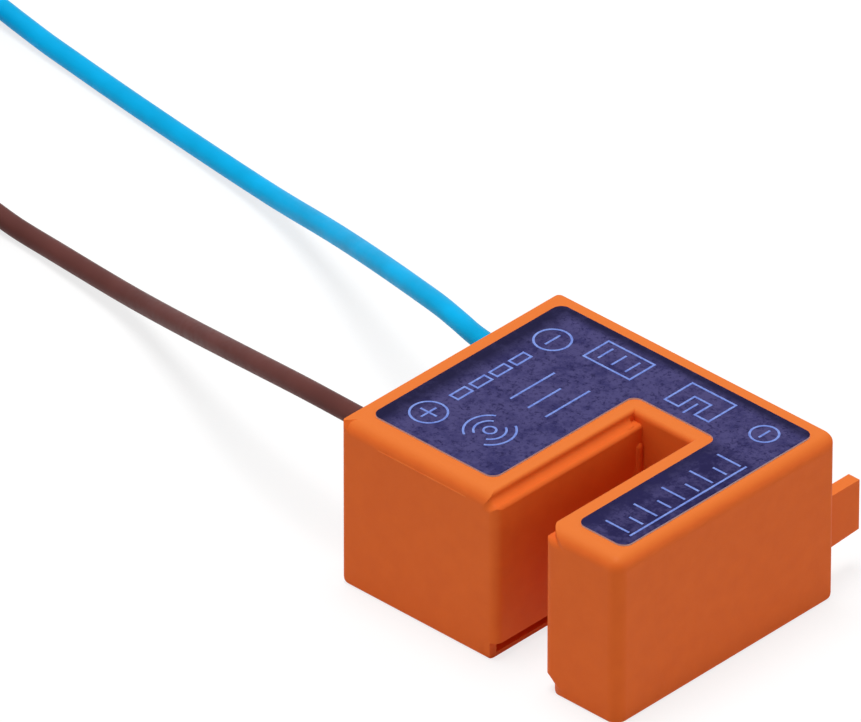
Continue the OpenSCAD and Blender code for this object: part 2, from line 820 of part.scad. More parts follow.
// A smooth curve from q to r; p and s are the places before and after them
function spline(p, q, r, s, t) =
    let (slope = r - p, bend = 2 * p - 5 * q + 4 * r - s, twist = 3 * q - p - 3 * r + s)
    q + (slope * t + bend * pow(t, 2) + twist * pow(t, 3)) / 2;

// The place past an end, chosen so that the curve ends along X
function guide(end, next) = [2 * end.x - next.x, next.y, next.z];

// The smooth route of a wire from its exit through its places
function route(exit, places) =
    let (
        start = exit - [wire_straight, 0, 0],
        stops = concat([start], [for (place = places) [left_x + place.x, place.y, place.z]]),
        last = len(stops) - 1,
        guided = concat([guide(stops[0], stops[1])], stops, [guide(stops[last], stops[last - 1])])
    )
    concat(
        [exit],
        [for (i = [0 : last - 1], k = [0 : route_steps - 1])
            spline(guided[i], guided[i + 1], guided[i + 2], guided[i + 3], k / route_steps)],
        [stops[last]]
    );

module cord_tube(points, d) {
    last = len(points) - 1;
    skin = [for (i = [0 : last - 1], k = [0 : cord_sides - 1])
        let (a = i * cord_sides, b = a + cord_sides, next = (k + 1) % cord_sides)
        [a + k, b + k, b + next, a + next]];
    start = [for (k = [0 : cord_sides - 1]) k];
    end = [for (k = [cord_sides - 1 : -1 : 0]) last * cord_sides + k];
    polyhedron(
        points = [for (i = [0 : last]) each ring(points, i, d)],
        faces = concat([start], skin, [end])
    );
}

module wire_tail(turn) {
    rotate(turn) cord_tube(tail_route, wire_d);
}

module blue_wire() {
    color(blue_colour) {
        cord_tube(route(blue_exit, blue_places), wire_d);
        translate(blue_centre) wire_tail(blue_tail_turn);
    }
}

module brown_wire() {
    color(brown_colour) {
        cord_tube(route(brown_exit, brown_places), wire_d);
        translate(brown_centre) wire_tail(brown_tail_turn);
    }
}

// The outer shape of a wire coil around the origin
module wire_coil() {
    translate([0, 0, tie_t]) rotate_extrude()
        translate([ring_in_r, 0]) square([ring_out_r - ring_in_r, ring_h]);
}

module wire_tip(turn) {
    start = tail_route[len(tail_route) - 1];
    rotate(turn) rod(start, start - [tip_l, 0, 0], strand_d);
}

// A band around the ring's section, across the ring's -X side
module coil_tie() {
    inner_x = sqrt(pow(ring_in_r, 2) - pow(tie_w / 2, 2));
    inner = [ring_out_r - inner_x, ring_h];
    outer = inner + [2 * tie_t, 2 * tie_t];
    translate([-ring_out_r - tie_t, tie_w / 2, 0]) along_minus_y(tie_w) difference() {
        rounded_rect(outer, tie_r);
        translate([tie_t, tie_t]) square(inner);
    }
}

module blue_wire_coil() { color(blue_colour) translate(blue_centre) wire_coil(); }
module brown_wire_coil() { color(brown_colour) translate(brown_centre) wire_coil(); }
module blue_tip() { color(tin_colour) translate(blue_centre) wire_tip(blue_tail_turn); }
module brown_tip() { color(tin_colour) translate(brown_centre) wire_tip(brown_tail_turn); }
module blue_tie() { color(tie_colour) translate(blue_centre) coil_tie(); }
module brown_tie() { color(tie_colour) translate(brown_centre) coil_tie(); }

housing();
label_film();
potting_resin();
circuit_board();
oscillator_chip();
driver_transistor();
protection_diode();
chip_resistors();
chip_capacitors();
wide_core();
narrow_core();
wide_bobbin();
narrow_bobbin();
wide_winding();
narrow_winding();
wide_coil_leads();
narrow_coil_leads();
solder_joints();
blue_sleeve();
brown_sleeve();
blue_conductor();
brown_conductor();
blue_wire();
brown_wire();
blue_wire_coil();
brown_wire_coil();
blue_tie();
brown_tie();
blue_tip();
brown_tip();
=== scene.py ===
"""Fork sensor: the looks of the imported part, in metres, in the part's own frame."""

import math

import bmesh
import bpy
from mathutils import Matrix, Vector


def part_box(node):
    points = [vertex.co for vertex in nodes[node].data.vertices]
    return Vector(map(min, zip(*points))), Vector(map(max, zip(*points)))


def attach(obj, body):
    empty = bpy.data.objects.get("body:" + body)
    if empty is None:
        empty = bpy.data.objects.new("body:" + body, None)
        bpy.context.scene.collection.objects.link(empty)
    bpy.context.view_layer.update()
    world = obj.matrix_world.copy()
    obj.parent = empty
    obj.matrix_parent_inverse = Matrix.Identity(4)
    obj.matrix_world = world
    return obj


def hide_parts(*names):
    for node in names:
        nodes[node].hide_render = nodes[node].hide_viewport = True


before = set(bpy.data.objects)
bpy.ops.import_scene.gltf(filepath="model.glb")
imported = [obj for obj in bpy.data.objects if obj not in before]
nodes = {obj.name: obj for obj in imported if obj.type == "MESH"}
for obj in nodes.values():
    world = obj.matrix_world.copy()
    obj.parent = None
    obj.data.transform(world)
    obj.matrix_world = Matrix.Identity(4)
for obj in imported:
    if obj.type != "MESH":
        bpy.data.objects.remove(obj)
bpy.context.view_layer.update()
scene = bpy.context.scene
MM = 0.001
housing_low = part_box("housing")[0]
film_low, film_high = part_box("label_film")

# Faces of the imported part, in millimetres
WIRE_SIDE_X = housing_low.x / MM
FRONT_Y = housing_low.y / MM
FILM_LOW_X = film_low.x / MM
FILM_HIGH_Y = film_high.y / MM
FILM_TOP_Z = film_high.z / MM

# Camera, as fitted to the photograph's edges
CAMERA_AZIMUTH = math.radians(42.83)
CAMERA_ELEVATION = math.radians(34.02)
CAMERA_ROLL = math.radians(0.35)
CAMERA_LENS_MM = 836.2
SENSOR_WIDTH_MM = 36.0
CAMERA_DISTANCE = 1084.6 * MM
AIM_RIGHT = -8.49 * MM
AIM_UP = 12.39 * MM
CLIP_START = 0.1 * CAMERA_DISTANCE
CLIP_END = 10 * CAMERA_DISTANCE

# Wires; the places are those of part.scad, in millimetres, X counted from the wire side
WIRE_D = 1.2 * MM
WIRE_STRAIGHT = 1.0
ROUTE_STEPS = 3
BLUE_EXIT = (WIRE_SIDE_X, 5.0, 8.0)
BROWN_EXIT = (WIRE_SIDE_X, -5.0, 8.0)
BLUE_PLACES = [
    (-6.8, 6.5, 7.6), (-13.8, 9.3, 5.8), (-20.8, 12.6, 3.3), (-27.8, 15.2, 1.3),
    (-34.8, 16.6, 0.7), (-41.8, 17.6, 0.62), (-48.8, 18.6, 0.66), (-56.7, 19.6, 0.9),
]
BROWN_PLACES = [
    (-6.7, -4.5, 7.6), (-13.3, -2.8, 6.0), (-20.0, -0.2, 3.6), (-26.7, 2.2, 1.5),
    (-33.3, 3.4, 0.75), (-37.0, 3.8, 0.64), (-41.7, 4.2, 0.9),
]
TAIL_ROUTE = [
    (-5.3, 9.8, 2.1), (-6.5, 9.8, 1.9), (-8.0, 9.8, 1.3), (-9.5, 9.8, 0.8), (-10.5, 9.8, 0.6),
    (-11.0, 9.8, 0.6),
]
BLUE_CENTRE = (WIRE_SIDE_X - 62.0, 9.8)
BROWN_CENTRE = (WIRE_SIDE_X - 47.0, -5.6)
BLUE_TURNS = 5.0
BROWN_TURNS = 5.25
COIL_START_R = 9.8
COIL_LOW_Z = 0.9
COIL_HIGH_Z = 2.1
POINTS_PER_TURN = 24
WIRE_ROUND_STEPS = 5
WIRE_CURVE_STEPS = 6

# Moulding line on the wide arm's end, in millimetres
LINE_START_X = -7.45
LINE_END_X = -0.95
LINE_Z = 9.78
LINE_R = 0.03
LINE_SIDES = 8

# Forms that close the slot's corners, in millimetres; the planes and roundings are those of part.scad
WIDE_LIP_X = 0.62
WIDE_FACE_X = 1.28
NARROW_FACE_X = 4.78
NARROW_LIP_X = 4.86
SLOT_BACK_Y = 2.95
FACE_END_Y = 2.6
FACE_EDGE_R = 0.55
FACE_BASE_Z = 1.1
FACE_TOP_R = 0.4
HOLLOW_R = 0.4
WIDE_MOUTH_R = 0.35
NARROW_MOUTH_R = 1.4
FOOT_Z = 0.26
LEDGE_Z = 9.88
SHOULDER_R = 0.22
BAR_FULL_Z = 6.6
BAR_PLAIN_Z = 8.4
BAR_SWELL = 0.15
BAR_SWELL_Y = 2.65
LIP_END_STOP = 175
POST_DEPTH = 0.4
POST_STOP = -80
CHAMFER_Z = 0.48
CORNER_STEPS = 12
OVERLAP = 0.02

# Film, in millimetres: the arms' edges at the slot and the web's edge
FILM_WIDE_EDGE_X = -0.28
FILM_NARROW_EDGE_X = 5.86
FILM_WEB_Y = 3.95

# Dark strips on the film, in millimetres from its edges: where they start to fade and where they end
WIRE_STRIP = (0.6, 1.7)
BACK_STRIP = (0.3, 0.9)
NARROW_STRIP = (0.2, 1.3)
NARROW_ARM_FADE = 1.0

# Printed marks, in millimetres
PRINT_T = 0.012
STROKE_W = 0.13
RING_STEPS = 48
POLE_X = -7.2
POLE_Y = 4.9
POLE_R = 1.05
POLE_REACH = 0.6
CELL_COUNT = 4
CELL_START_Y = -2.9
CELL_PITCH = 1.55
CELL_L = 1.15
CELL_W = 0.6
COIL_MARK = (-3.6, -3.9)
COIL_MARK_R = 0.35
FIELD_RADII = (0.9, 1.45)
FIELD_ANGLE = 60
FIELD_STEPS = 16
BAR_MARK_START = (-4.9, -0.9)
BAR_MARK_PITCH = 1.3
BAR_MARK_LENGTHS = (3.5, 2.6, 3.5)
BLOCK_LOW = (-4.9, 4.9)
BLOCK_HIGH = (-1.5, 6.9)
BLOCK_INSET = 0.4
BLOCK_LINES_X = (-4.2, -3.2, -2.2)
FORK_LOW = (1.2, 4.8)
FORK_HIGH = (4.4, 7.0)
FORK_ARM_W = 1.0
FORK_SLOT_Y = 6.1
FLAG_X = 2.8
FLAG_Y = (4.5, 5.7)
SCALE_X = 8.6
SCALE_START_Y = -6.0
SCALE_PITCH = 1.1
SCALE_COUNT = 9
SCALE_LONG = 1.7
SCALE_SHORT = 1.0
SCALE_LINE_X = 8.85
SCALE_OVERHANG = 0.2
DIAL_CENTRE = (7.4, 6.0)
DIAL_R = 0.8
DIAL_REACH = 0.45

# Colours, linear
ORANGE = (0.86, 0.156, 0.022)
ORANGE_DEEP = (0.83, 0.146, 0.021)
# The next colour is a painted sheen: a paler orange for faces that look up, also used on the moulding line
ORANGE_PAINTED_SHEEN = (0.86, 0.205, 0.036)
FILM_VIOLET = (0.068, 0.060, 0.182)
FILM_BLOTCH = (0.029, 0.025, 0.114)
FILM_SPECK = (0.012, 0.009, 0.066)
FILM_DARK = (0.006, 0.004, 0.038)
FILM_EDGE = (0.62, 0.55, 0.58)
MARK_BLUE = (0.11, 0.19, 0.64)
MARK_PALE = (0.22, 0.33, 0.80)
BLUE = (0.001, 0.50, 0.95)
BROWN = (0.142, 0.046, 0.040)
TIN = (0.62, 0.62, 0.64)
STRANDS = (0.46, 0.46, 0.48)
COPPER = (0.62, 0.22, 0.07)
DEEP_WIRE_SHARE = 0.82
DEEP_METAL_SHARE = 0.75

# Strength of the mirror reflection
HOUSING_GLOSS = 0.1
FILM_GLOSS = 0.06
WIRE_GLOSS = 0.08

# Surfaces: grains and the strands' wave in cycles per millimetre, depths in metres
NOISE_LOW = 0.3
NOISE_HIGH = 0.7
DRIFT_RATIO = 8
GRAIN_DETAIL = 3.0
GRAIN_DEPTH = 0.02 * MM
PLASTIC_SPREAD = (-0.05, 0.07)
METAL_SPREAD = (-0.06, 0.08)
METAL_BUMP = 0.2
HOUSING_ROUGHNESS = 0.48
RIDGE_ROUGHNESS = 0.45
HOUSING_GRAIN = 7.0
WIRE_ROUGHNESS = 0.45
WIRE_GRAIN = 2.5
WIRE_BUMP = 0.1
STRAND_WAVE = 0.25
STRAND_BUMP = 0.6
STRAND_DEPTH = 0.05 * MM

# Where a painted sheen makes the housing paler: above the ledge and behind the slot, in millimetres, on faces
# that look up; the ledge in the slot keeps the plain colour as painted shade
SHEEN_ABOVE_LEDGE = (0.1, 0.4)
SHEEN_BEHIND_SLOT = (1.0, 2.0)
SHEEN_UPWARD = (0.5, 1.0)

# The film's noises, and the values between which each of them sets in
FILM_CLOUDS = 0.9
FILM_SPECKS = 4.0
FILM_GRAIN = 9.0
FILM_NOISE_ROUGHNESS = 0.7
CLOUD_RANGE = (0.45, 0.66)
SPECK_RANGE = (0.5, 0.66)
SPECK_SHARE = 0.9
STRIP_RANGE = (0.3, 0.5)
STRIP_SHARES = (0.75, 1.0)
NARROW_ARM_RANGE = (0.4, 0.58)
NARROW_ARM_SHARES = (0.3, 1.0)
CUT_EDGE_UPWARD = (0.9, 0.4)
FILM_ROUGHNESS = (0.36, 0.52)
FILM_BUMP = 0.2
FILM_GRAIN_DEPTH = 0.015 * MM
COAT_GRAIN = 3.0
COAT_RANGE = (0.35, 0.65)
COAT_ROUGHNESS = (0.4, 0.55)

# Plain plastics and ceramics: name, colour, deeper colour, roughness, grain and nodes
PLAIN_MATERIALS = [
    ("black_resin", (0.016, 0.015, 0.015), (0.024, 0.022, 0.021), 0.3, 3.0, ["potting_resin"]),
    ("solder_mask", (0.012, 0.10, 0.03), (0.016, 0.13, 0.045), 0.35, 5.0, ["circuit_board"]),
    ("moulded_black", (0.014, 0.014, 0.015), (0.02, 0.02, 0.022), 0.55, 8.0,
     ["oscillator_chip", "driver_transistor", "protection_diode"]),
    ("resistor_glaze", (0.02, 0.025, 0.05), (0.03, 0.035, 0.06), 0.3, 8.0, ["chip_resistors"]),
    ("capacitor_ceramic", (0.35, 0.22, 0.11), (0.28, 0.17, 0.08), 0.5, 8.0, ["chip_capacitors"]),
    ("ferrite", (0.03, 0.028, 0.03), (0.045, 0.043, 0.045), 0.6, 10.0, ["wide_core", "narrow_core"]),
    ("bobbin_plastic", (0.78, 0.72, 0.58), (0.72, 0.66, 0.52), 0.5, 8.0, ["wide_bobbin", "narrow_bobbin"]),
    ("tie_plastic", (0.82, 0.82, 0.78), (0.76, 0.76, 0.72), 0.4, 4.0, ["blue_tie", "brown_tie"]),
]

# Floor and light: a lamp's name, power, size and place
FLOOR_SIZE = 4.0
FLOOR_ROUGHNESS = 0.9
FLOOR_SHADE = 0.75
FLOOR_SEEN_SHADE = 0.28
FLOOR_GLOW = 0.76
SKY = 0.28
SKY_SEEN = 1.0
LIGHTS = [
    ("key", 1.6, 0.25, (-0.05, 0.0, 0.5)),
    ("front_fill", 0.27, 0.3, (-0.2, -0.42, 0.2)),
    ("side_fill", 0.34, 0.3, (0.42, 0.2, 0.2)),
]


# Camera

def make_camera():
    back = Vector((
        math.sin(CAMERA_AZIMUTH) * math.cos(CAMERA_ELEVATION),
        -math.cos(CAMERA_AZIMUTH) * math.cos(CAMERA_ELEVATION),
        math.sin(CAMERA_ELEVATION),
    ))
    level_right = Vector((math.cos(CAMERA_AZIMUTH), math.sin(CAMERA_AZIMUTH), 0))
    level_up = back.cross(level_right)
    right = math.cos(CAMERA_ROLL) * level_right + math.sin(CAMERA_ROLL) * level_up
    up = math.cos(CAMERA_ROLL) * level_up - math.sin(CAMERA_ROLL) * level_right
    data = bpy.data.cameras.new("camera")
    data.lens = CAMERA_LENS_MM
    data.sensor_width = SENSOR_WIDTH_MM
    data.clip_start = CLIP_START
    data.clip_end = CLIP_END
    camera = bpy.data.objects.new("camera", data)
    scene.collection.objects.link(camera)
    place = CAMERA_DISTANCE * back
    look_back = (place - AIM_RIGHT * right - AIM_UP * up).normalized()
    right = up.cross(look_back).normalized()
    up = look_back.cross(right)
    turn = Matrix((right, up, look_back)).transposed()
    camera.matrix_world = Matrix.Translation(place) @ turn.to_4x4()
    scene.camera = camera


# Nodes of a material

def shader_of(tree):
    return next(n for n in tree.nodes if n.type == "BSDF_PRINCIPLED")


def new_material(name):
    material = bpy.data.materials.new(name)
    material.use_nodes = True
    tree = material.node_tree
    return material, tree, shader_of(tree)


def add_node(tree, kind, **settings):
    node = tree.nodes.new(kind)
    for name, value in settings.items():
        setattr(node, name, value)
    return node


def map_range(tree, value, low, high, to_low=0, to_high=1):
    node = add_node(tree, "ShaderNodeMapRange")
    node.inputs["From Min"].default_value = low
    node.inputs["From Max"].default_value = high
    node.inputs["To Min"].default_value = to_low
    node.inputs["To Max"].default_value = to_high
    tree.links.new(value, node.inputs["Value"])
    return node.outputs["Result"]


def span(tree, place, low, high, to_low=0, to_high=1):
    """A range for a place along an axis, with its ends in millimetres."""
    return map_range(tree, place, low * MM, high * MM, to_low, to_high)


def combine(tree, operation, first, second):
    node = add_node(tree, "ShaderNodeMath", operation=operation)
    tree.links.new(first, node.inputs[0])
    tree.links.new(second, node.inputs[1])
    return node.outputs[0]


def mix_colours(tree, factor, first, second):
    """first and second are colours or colour sockets."""
    node = add_node(tree, "ShaderNodeMix", data_type="RGBA")
    tree.links.new(factor, node.inputs["Factor"])
    for name, value in (("A", first), ("B", second)):
        socket = next(s for s in node.inputs if s.name == name and s.type == "RGBA")
        if isinstance(value, tuple):
            socket.default_value = (*value, 1)
        else:
            tree.links.new(value, socket)
    return next(s for s in node.outputs if s.type == "RGBA")


def object_place(tree):
    return add_node(tree, "ShaderNodeTexCoord").outputs["Object"]


def object_noise(tree, scale, detail=2.0, roughness=0.5):
    """Noise in the part's own frame; scale is in cycles per millimetre."""
    noise = add_node(tree, "ShaderNodeTexNoise")
    noise.inputs["Scale"].default_value = scale / MM
    noise.inputs["Detail"].default_value = detail
    noise.inputs["Roughness"].default_value = roughness
    tree.links.new(object_place(tree), noise.inputs["Vector"])
    return noise.outputs["Fac"]


def split_axes(tree, vector):
    """The X, Y and Z of a vector."""
    split = add_node(tree, "ShaderNodeSeparateXYZ")
    tree.links.new(vector, split.inputs["Vector"])
    return split.outputs["X"], split.outputs["Y"], split.outputs["Z"]


def upward(tree):
    """How far a surface looks up: 1 on level faces, 0 on walls."""
    normal = add_node(tree, "ShaderNodeNewGeometry").outputs["Normal"]
    return split_axes(tree, normal)[2]


def vary_roughness(tree, noise, low, high):
    roughness = map_range(tree, noise, NOISE_LOW, NOISE_HIGH, low, high)
    tree.links.new(roughness, shader_of(tree).inputs["Roughness"])


def add_bump(tree, height, strength, distance):
    bump = add_node(tree, "ShaderNodeBump")
    bump.inputs["Strength"].default_value = strength
    bump.inputs["Distance"].default_value = distance
    tree.links.new(height, bump.inputs["Height"])
    tree.links.new(bump.outputs["Normal"], shader_of(tree).inputs["Normal"])


# Materials

def plastic(name, colour, deep, roughness, grain, bump=0.15, gloss=0.5):
    """Moulded plastic: a slow drift of colour and a fine grain; grain is in cycles per millimetre."""
    material, tree, shader = new_material(name)
    shader.inputs["Specular IOR Level"].default_value = gloss
    drift = map_range(tree, object_noise(tree, grain / DRIFT_RATIO), NOISE_LOW, NOISE_HIGH)
    tree.links.new(mix_colours(tree, drift, colour, deep), shader.inputs["Base Color"])
    fine = object_noise(tree, grain, GRAIN_DETAIL)
    vary_roughness(tree, fine, *(roughness + spread for spread in PLASTIC_SPREAD))
    add_bump(tree, fine, bump, GRAIN_DEPTH)
    return material


def housing_material():
    """Satin moulded plastic, with a painted sheen that makes the faces that look up outside the slot a little
    paler; the ledge in the slot is left darker as painted shade.
    """
    material = plastic("orange_plastic", ORANGE, ORANGE_DEEP, HOUSING_ROUGHNESS, HOUSING_GRAIN,
                       gloss=HOUSING_GLOSS)
    tree = material.node_tree
    colour = shader_of(tree).inputs["Base Color"]
    _, y, z = split_axes(tree, object_place(tree))
    above_ledge = span(tree, z, *(LEDGE_Z + reach for reach in SHEEN_ABOVE_LEDGE))
    behind_slot = span(tree, y, *(SLOT_BACK_Y + reach for reach in SHEEN_BEHIND_SLOT))
    outside_slot = combine(tree, "MAXIMUM", above_ledge, behind_slot)
    # Painted sheen on faces that look up outside the slot; the ledge in the slot gets none, as painted shade
    pale = combine(tree, "MULTIPLY", outside_slot, map_range(tree, upward(tree), *SHEEN_UPWARD))
    tree.links.new(mix_colours(tree, pale, colour.links[0].from_socket, ORANGE_PAINTED_SHEEN), colour)
    return material


def film_zones(tree):
    """How far a place lies in the dark strips along the film's edges, and on the narrow arm."""
    x, y, _ = split_axes(tree, object_place(tree))
    wire_strip = span(tree, x, *(FILM_LOW_X + reach for reach in WIRE_STRIP), 1, 0)
    back_strip = span(tree, y, *(FILM_HIGH_Y - reach for reach in BACK_STRIP), 1, 0)
    narrow_side = span(tree, x, *(FILM_NARROW_EDGE_X + reach for reach in NARROW_STRIP), 1, 0)
    past_slot = span(tree, x, FILM_WIDE_EDGE_X, FILM_NARROW_EDGE_X)
    before_web = span(tree, y, FILM_WEB_Y, FILM_WEB_Y - NARROW_ARM_FADE)
    narrow_arm = combine(tree, "MULTIPLY", before_web, past_slot)
    narrow_strip = combine(tree, "MULTIPLY", narrow_side, narrow_arm)
    outer_strips = combine(tree, "MAXIMUM", wire_strip, back_strip)
    return combine(tree, "MAXIMUM", outer_strips, narrow_strip), narrow_arm


def film_material():
    """Satin printed film: mottled violet with darker strips along some edges and a pale cut edge."""
    material, tree, shader = new_material("printed_film")
    shader.inputs["Specular IOR Level"].default_value = FILM_GLOSS
    clouds = object_noise(tree, FILM_CLOUDS, detail=5.0, roughness=FILM_NOISE_ROUGHNESS)
    specks = object_noise(tree, FILM_SPECKS, detail=4.0, roughness=FILM_NOISE_ROUGHNESS)
    fine = object_noise(tree, FILM_GRAIN, GRAIN_DETAIL)
    strips, narrow_arm = film_zones(tree)
    strip_share = map_range(tree, clouds, *STRIP_RANGE, *STRIP_SHARES)
    narrow_arm_share = map_range(tree, clouds, *NARROW_ARM_RANGE, *NARROW_ARM_SHARES)
    cut_edge = map_range(tree, upward(tree), *CUT_EDGE_UPWARD)
    layers = [
        (map_range(tree, clouds, *CLOUD_RANGE), FILM_BLOTCH),
        (map_range(tree, specks, *SPECK_RANGE, 0, SPECK_SHARE), FILM_SPECK),
        (combine(tree, "MULTIPLY", strips, strip_share), FILM_DARK),
        (combine(tree, "MULTIPLY", narrow_arm, narrow_arm_share), FILM_SPECK),
        (cut_edge, FILM_EDGE),
    ]
    shade = FILM_VIOLET
    for factor, colour in layers:
        shade = mix_colours(tree, factor, shade, colour)
    tree.links.new(shade, shader.inputs["Base Color"])
    vary_roughness(tree, fine, *FILM_ROUGHNESS)
    add_bump(tree, fine, FILM_BUMP, FILM_GRAIN_DEPTH)
    return material


def print_material():
    """Pale blue print with a slightly uneven coat."""
    material, tree, shader = new_material("blue_print")
    coat = object_noise(tree, COAT_GRAIN, detail=4.0, roughness=0.6)
    shade = mix_colours(tree, map_range(tree, coat, *COAT_RANGE), MARK_BLUE, MARK_PALE)
    tree.links.new(shade, shader.inputs["Base Color"])
    vary_roughness(tree, coat, *COAT_ROUGHNESS)
    return material


def metal(name, colour, roughness, grain, twisted=False):
    """Dull metal with a fine grain, or with the slanted bands of twisted strands."""
    material, tree, shader = new_material(name)
    shader.inputs["Metallic"].default_value = 1.0
    fine = object_noise(tree, grain, GRAIN_DETAIL)
    darker = tuple(DEEP_METAL_SHARE * c for c in colour)
    tree.links.new(mix_colours(tree, fine, darker, colour), shader.inputs["Base Color"])
    vary_roughness(tree, fine, *(roughness + spread for spread in METAL_SPREAD))
    if twisted:
        bands = add_node(tree, "ShaderNodeTexWave", bands_direction="DIAGONAL")
        bands.inputs["Scale"].default_value = STRAND_WAVE / MM
        tree.links.new(object_place(tree), bands.inputs["Vector"])
        add_bump(tree, bands.outputs["Fac"], STRAND_BUMP, STRAND_DEPTH)
    else:
        add_bump(tree, fine, METAL_BUMP, GRAIN_DEPTH)
    return material


def wire_material(name, colour):
    deep = tuple(DEEP_WIRE_SHARE * c for c in colour)
    return plastic(name, colour, deep, WIRE_ROUGHNESS, WIRE_GRAIN, bump=WIRE_BUMP, gloss=WIRE_GLOSS)


def dress(material, *names):
    for name in names:
        slots = nodes[name].data.materials
        slots.clear()
        slots.append(material)


# Wires

def spline_point(p, q, r, s, t):
    """A place on the smooth curve from q to r; p and s are the places before and after them."""
    slope = r - p
    bend = 2 * p - 5 * q + 4 * r - s
    twist = 3 * q - p - 3 * r + s
    return q + (slope * t + bend * t ** 2 + twist * t ** 3) / 2


def guide(end, near):
    """The place past an end, chosen so that the curve ends along X."""
    return Vector((2 * end.x - near.x, near.y, near.z))


def route_points(wire_exit, places):
    """The smooth route of a wire from its exit through its places."""
    stops = [Vector(wire_exit) - Vector((WIRE_STRAIGHT, 0, 0))]
    stops += [Vector((WIRE_SIDE_X + x, y, z)) for x, y, z in places]
    guided = [guide(stops[0], stops[1]), *stops, guide(stops[-1], stops[-2])]
    points = [Vector(wire_exit)]
    for index in range(len(stops) - 1):
        for step in range(ROUTE_STEPS):
            points.append(spline_point(*guided[index:index + 4], step / ROUTE_STEPS))
    return points + [stops[-1]]


def coil_points(centre, turns):
    """Two layers of turns: inwards on the floor, then outwards on top of them."""
    points = []
    steps = round(turns * POINTS_PER_TURN)
    inner_r = COIL_START_R - turns * WIRE_D / MM
    for step in range(2 * steps + 1):
        inwards = min(step, 2 * steps - step) / steps
        radius = COIL_START_R + (inner_r - COIL_START_R) * inwards
        angle = math.radians(90) + 2 * math.pi * step / POINTS_PER_TURN
        rise = (step - steps) / (POINTS_PER_TURN / 2) + 0.5
        rise = min(max(rise, 0), 1)
        z = COIL_LOW_Z + (COIL_HIGH_Z - COIL_LOW_Z) * rise * rise * (3 - 2 * rise)
        points.append(Vector((centre[0] + radius * math.cos(angle), centre[1] + radius * math.sin(angle), z)))
    return points


def tail_points(centre, turns):
    """The far end, where the upper layer ends; after an odd half turn it leaves on the other side."""
    sign = 1 if 2 * turns % 1 == 0 else -1
    return [Vector((centre[0] + sign * x, centre[1] + sign * y, z)) for x, y, z in TAIL_ROUTE]


def make_wire(name, wire_exit, places, centre, turns, material, replaced):
    points = route_points(wire_exit, places) + coil_points(centre, turns) + tail_points(centre, turns)
    data = bpy.data.curves.new(name, "CURVE")
    data.dimensions = "3D"
    data.bevel_depth = WIRE_D / 2
    data.bevel_resolution = WIRE_ROUND_STEPS
    data.resolution_u = WIRE_CURVE_STEPS
    data.use_fill_caps = True
    spline = data.splines.new("BEZIER")
    spline.bezier_points.add(len(points) - 1)
    for knot, point in zip(spline.bezier_points, points):
        knot.co = point * MM
        knot.handle_left_type = "AUTO"
        knot.handle_right_type = "AUTO"
    data.materials.append(material)
    wire = bpy.data.objects.new(name, data)
    scene.collection.objects.link(wire)
    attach(wire, "root")
    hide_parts(*replaced)


# Mesh pieces, in millimetres

def add_piece(name, mesh_builder, material):
    """A mesh piece that rides on the body; mesh_builder fills a bmesh in millimetres."""
    shape = bmesh.new()
    mesh_builder(shape)
    bmesh.ops.recalc_face_normals(shape, faces=shape.faces)
    bmesh.ops.scale(shape, vec=(MM, MM, MM), verts=shape.verts)
    mesh = bpy.data.meshes.new(name)
    shape.to_mesh(mesh)
    shape.free()
    mesh.materials.append(material)
    piece = bpy.data.objects.new(name, mesh)
    scene.collection.objects.link(piece)
    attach(piece, "root")


def arc_places(centre, radius, start, stop, steps):
    """Places along an arc, with its angles in degrees."""
    angles = [math.radians(start + (stop - start) * step / steps) for step in range(steps + 1)]
    return [(centre[0] + radius * math.cos(a), centre[1] + radius * math.sin(a)) for a in angles]


def join_rings(shape, near, far):
    count = len(near)
    for index in range(count):
        other = (index + 1) % count
        shape.faces.new((near[index], near[other], far[other], far[index]))


def loft(shape, rings, closed=False):
    """A solid through rings with as many corners each; a closed one joins its last ring to its first."""
    rows = [[shape.verts.new(place) for place in ring] for ring in rings]
    for near, far in zip(rows, rows[1:]):
        join_rings(shape, near, far)
    if closed:
        join_rings(shape, rows[-1], rows[0])
    else:
        shape.faces.new(rows[0])
        shape.faces.new(rows[-1])


def stack(shape, levels):
    """A loft through plans; a level is a plan and its Z."""
    loft(shape, [[(x, y, z) for x, y in plan] for plan, z in levels])


def moulding_line(shape):
    """A fine half-round ridge along the wide arm's end."""
    section = arc_places((FRONT_Y, LINE_Z), LINE_R, 90, 270, LINE_SIDES)
    loft(shape, [[(x, y, z) for y, z in section] for x in (LINE_START_X, LINE_END_X)])


# Forms in the slot's corners

def slot_bar(shape):
    """What carries the wide arm's sensing face and its ledge on to the slot's closed end."""
    start_y = FACE_END_Y - FACE_EDGE_R
    stop_y = SLOT_BACK_Y + OVERLAP

    def plan(front_x, swell):
        swell_x = front_x + swell
        return [(WIDE_LIP_X, start_y), (front_x, start_y), (swell_x, BAR_SWELL_Y), (swell_x, stop_y),
                (WIDE_LIP_X, stop_y)]

    shoulder = (WIDE_FACE_X - SHOULDER_R, LEDGE_Z - SHOULDER_R)
    swollen = plan(WIDE_FACE_X, BAR_SWELL)
    levels = [(swollen, FOOT_Z), (swollen, BAR_FULL_Z), (plan(WIDE_FACE_X, 0), BAR_PLAIN_Z)]
    for front_x, z in arc_places(shoulder, SHOULDER_R, 0, 90, CORNER_STEPS):
        levels.append((plan(front_x, 0), z))
    stack(shape, levels)


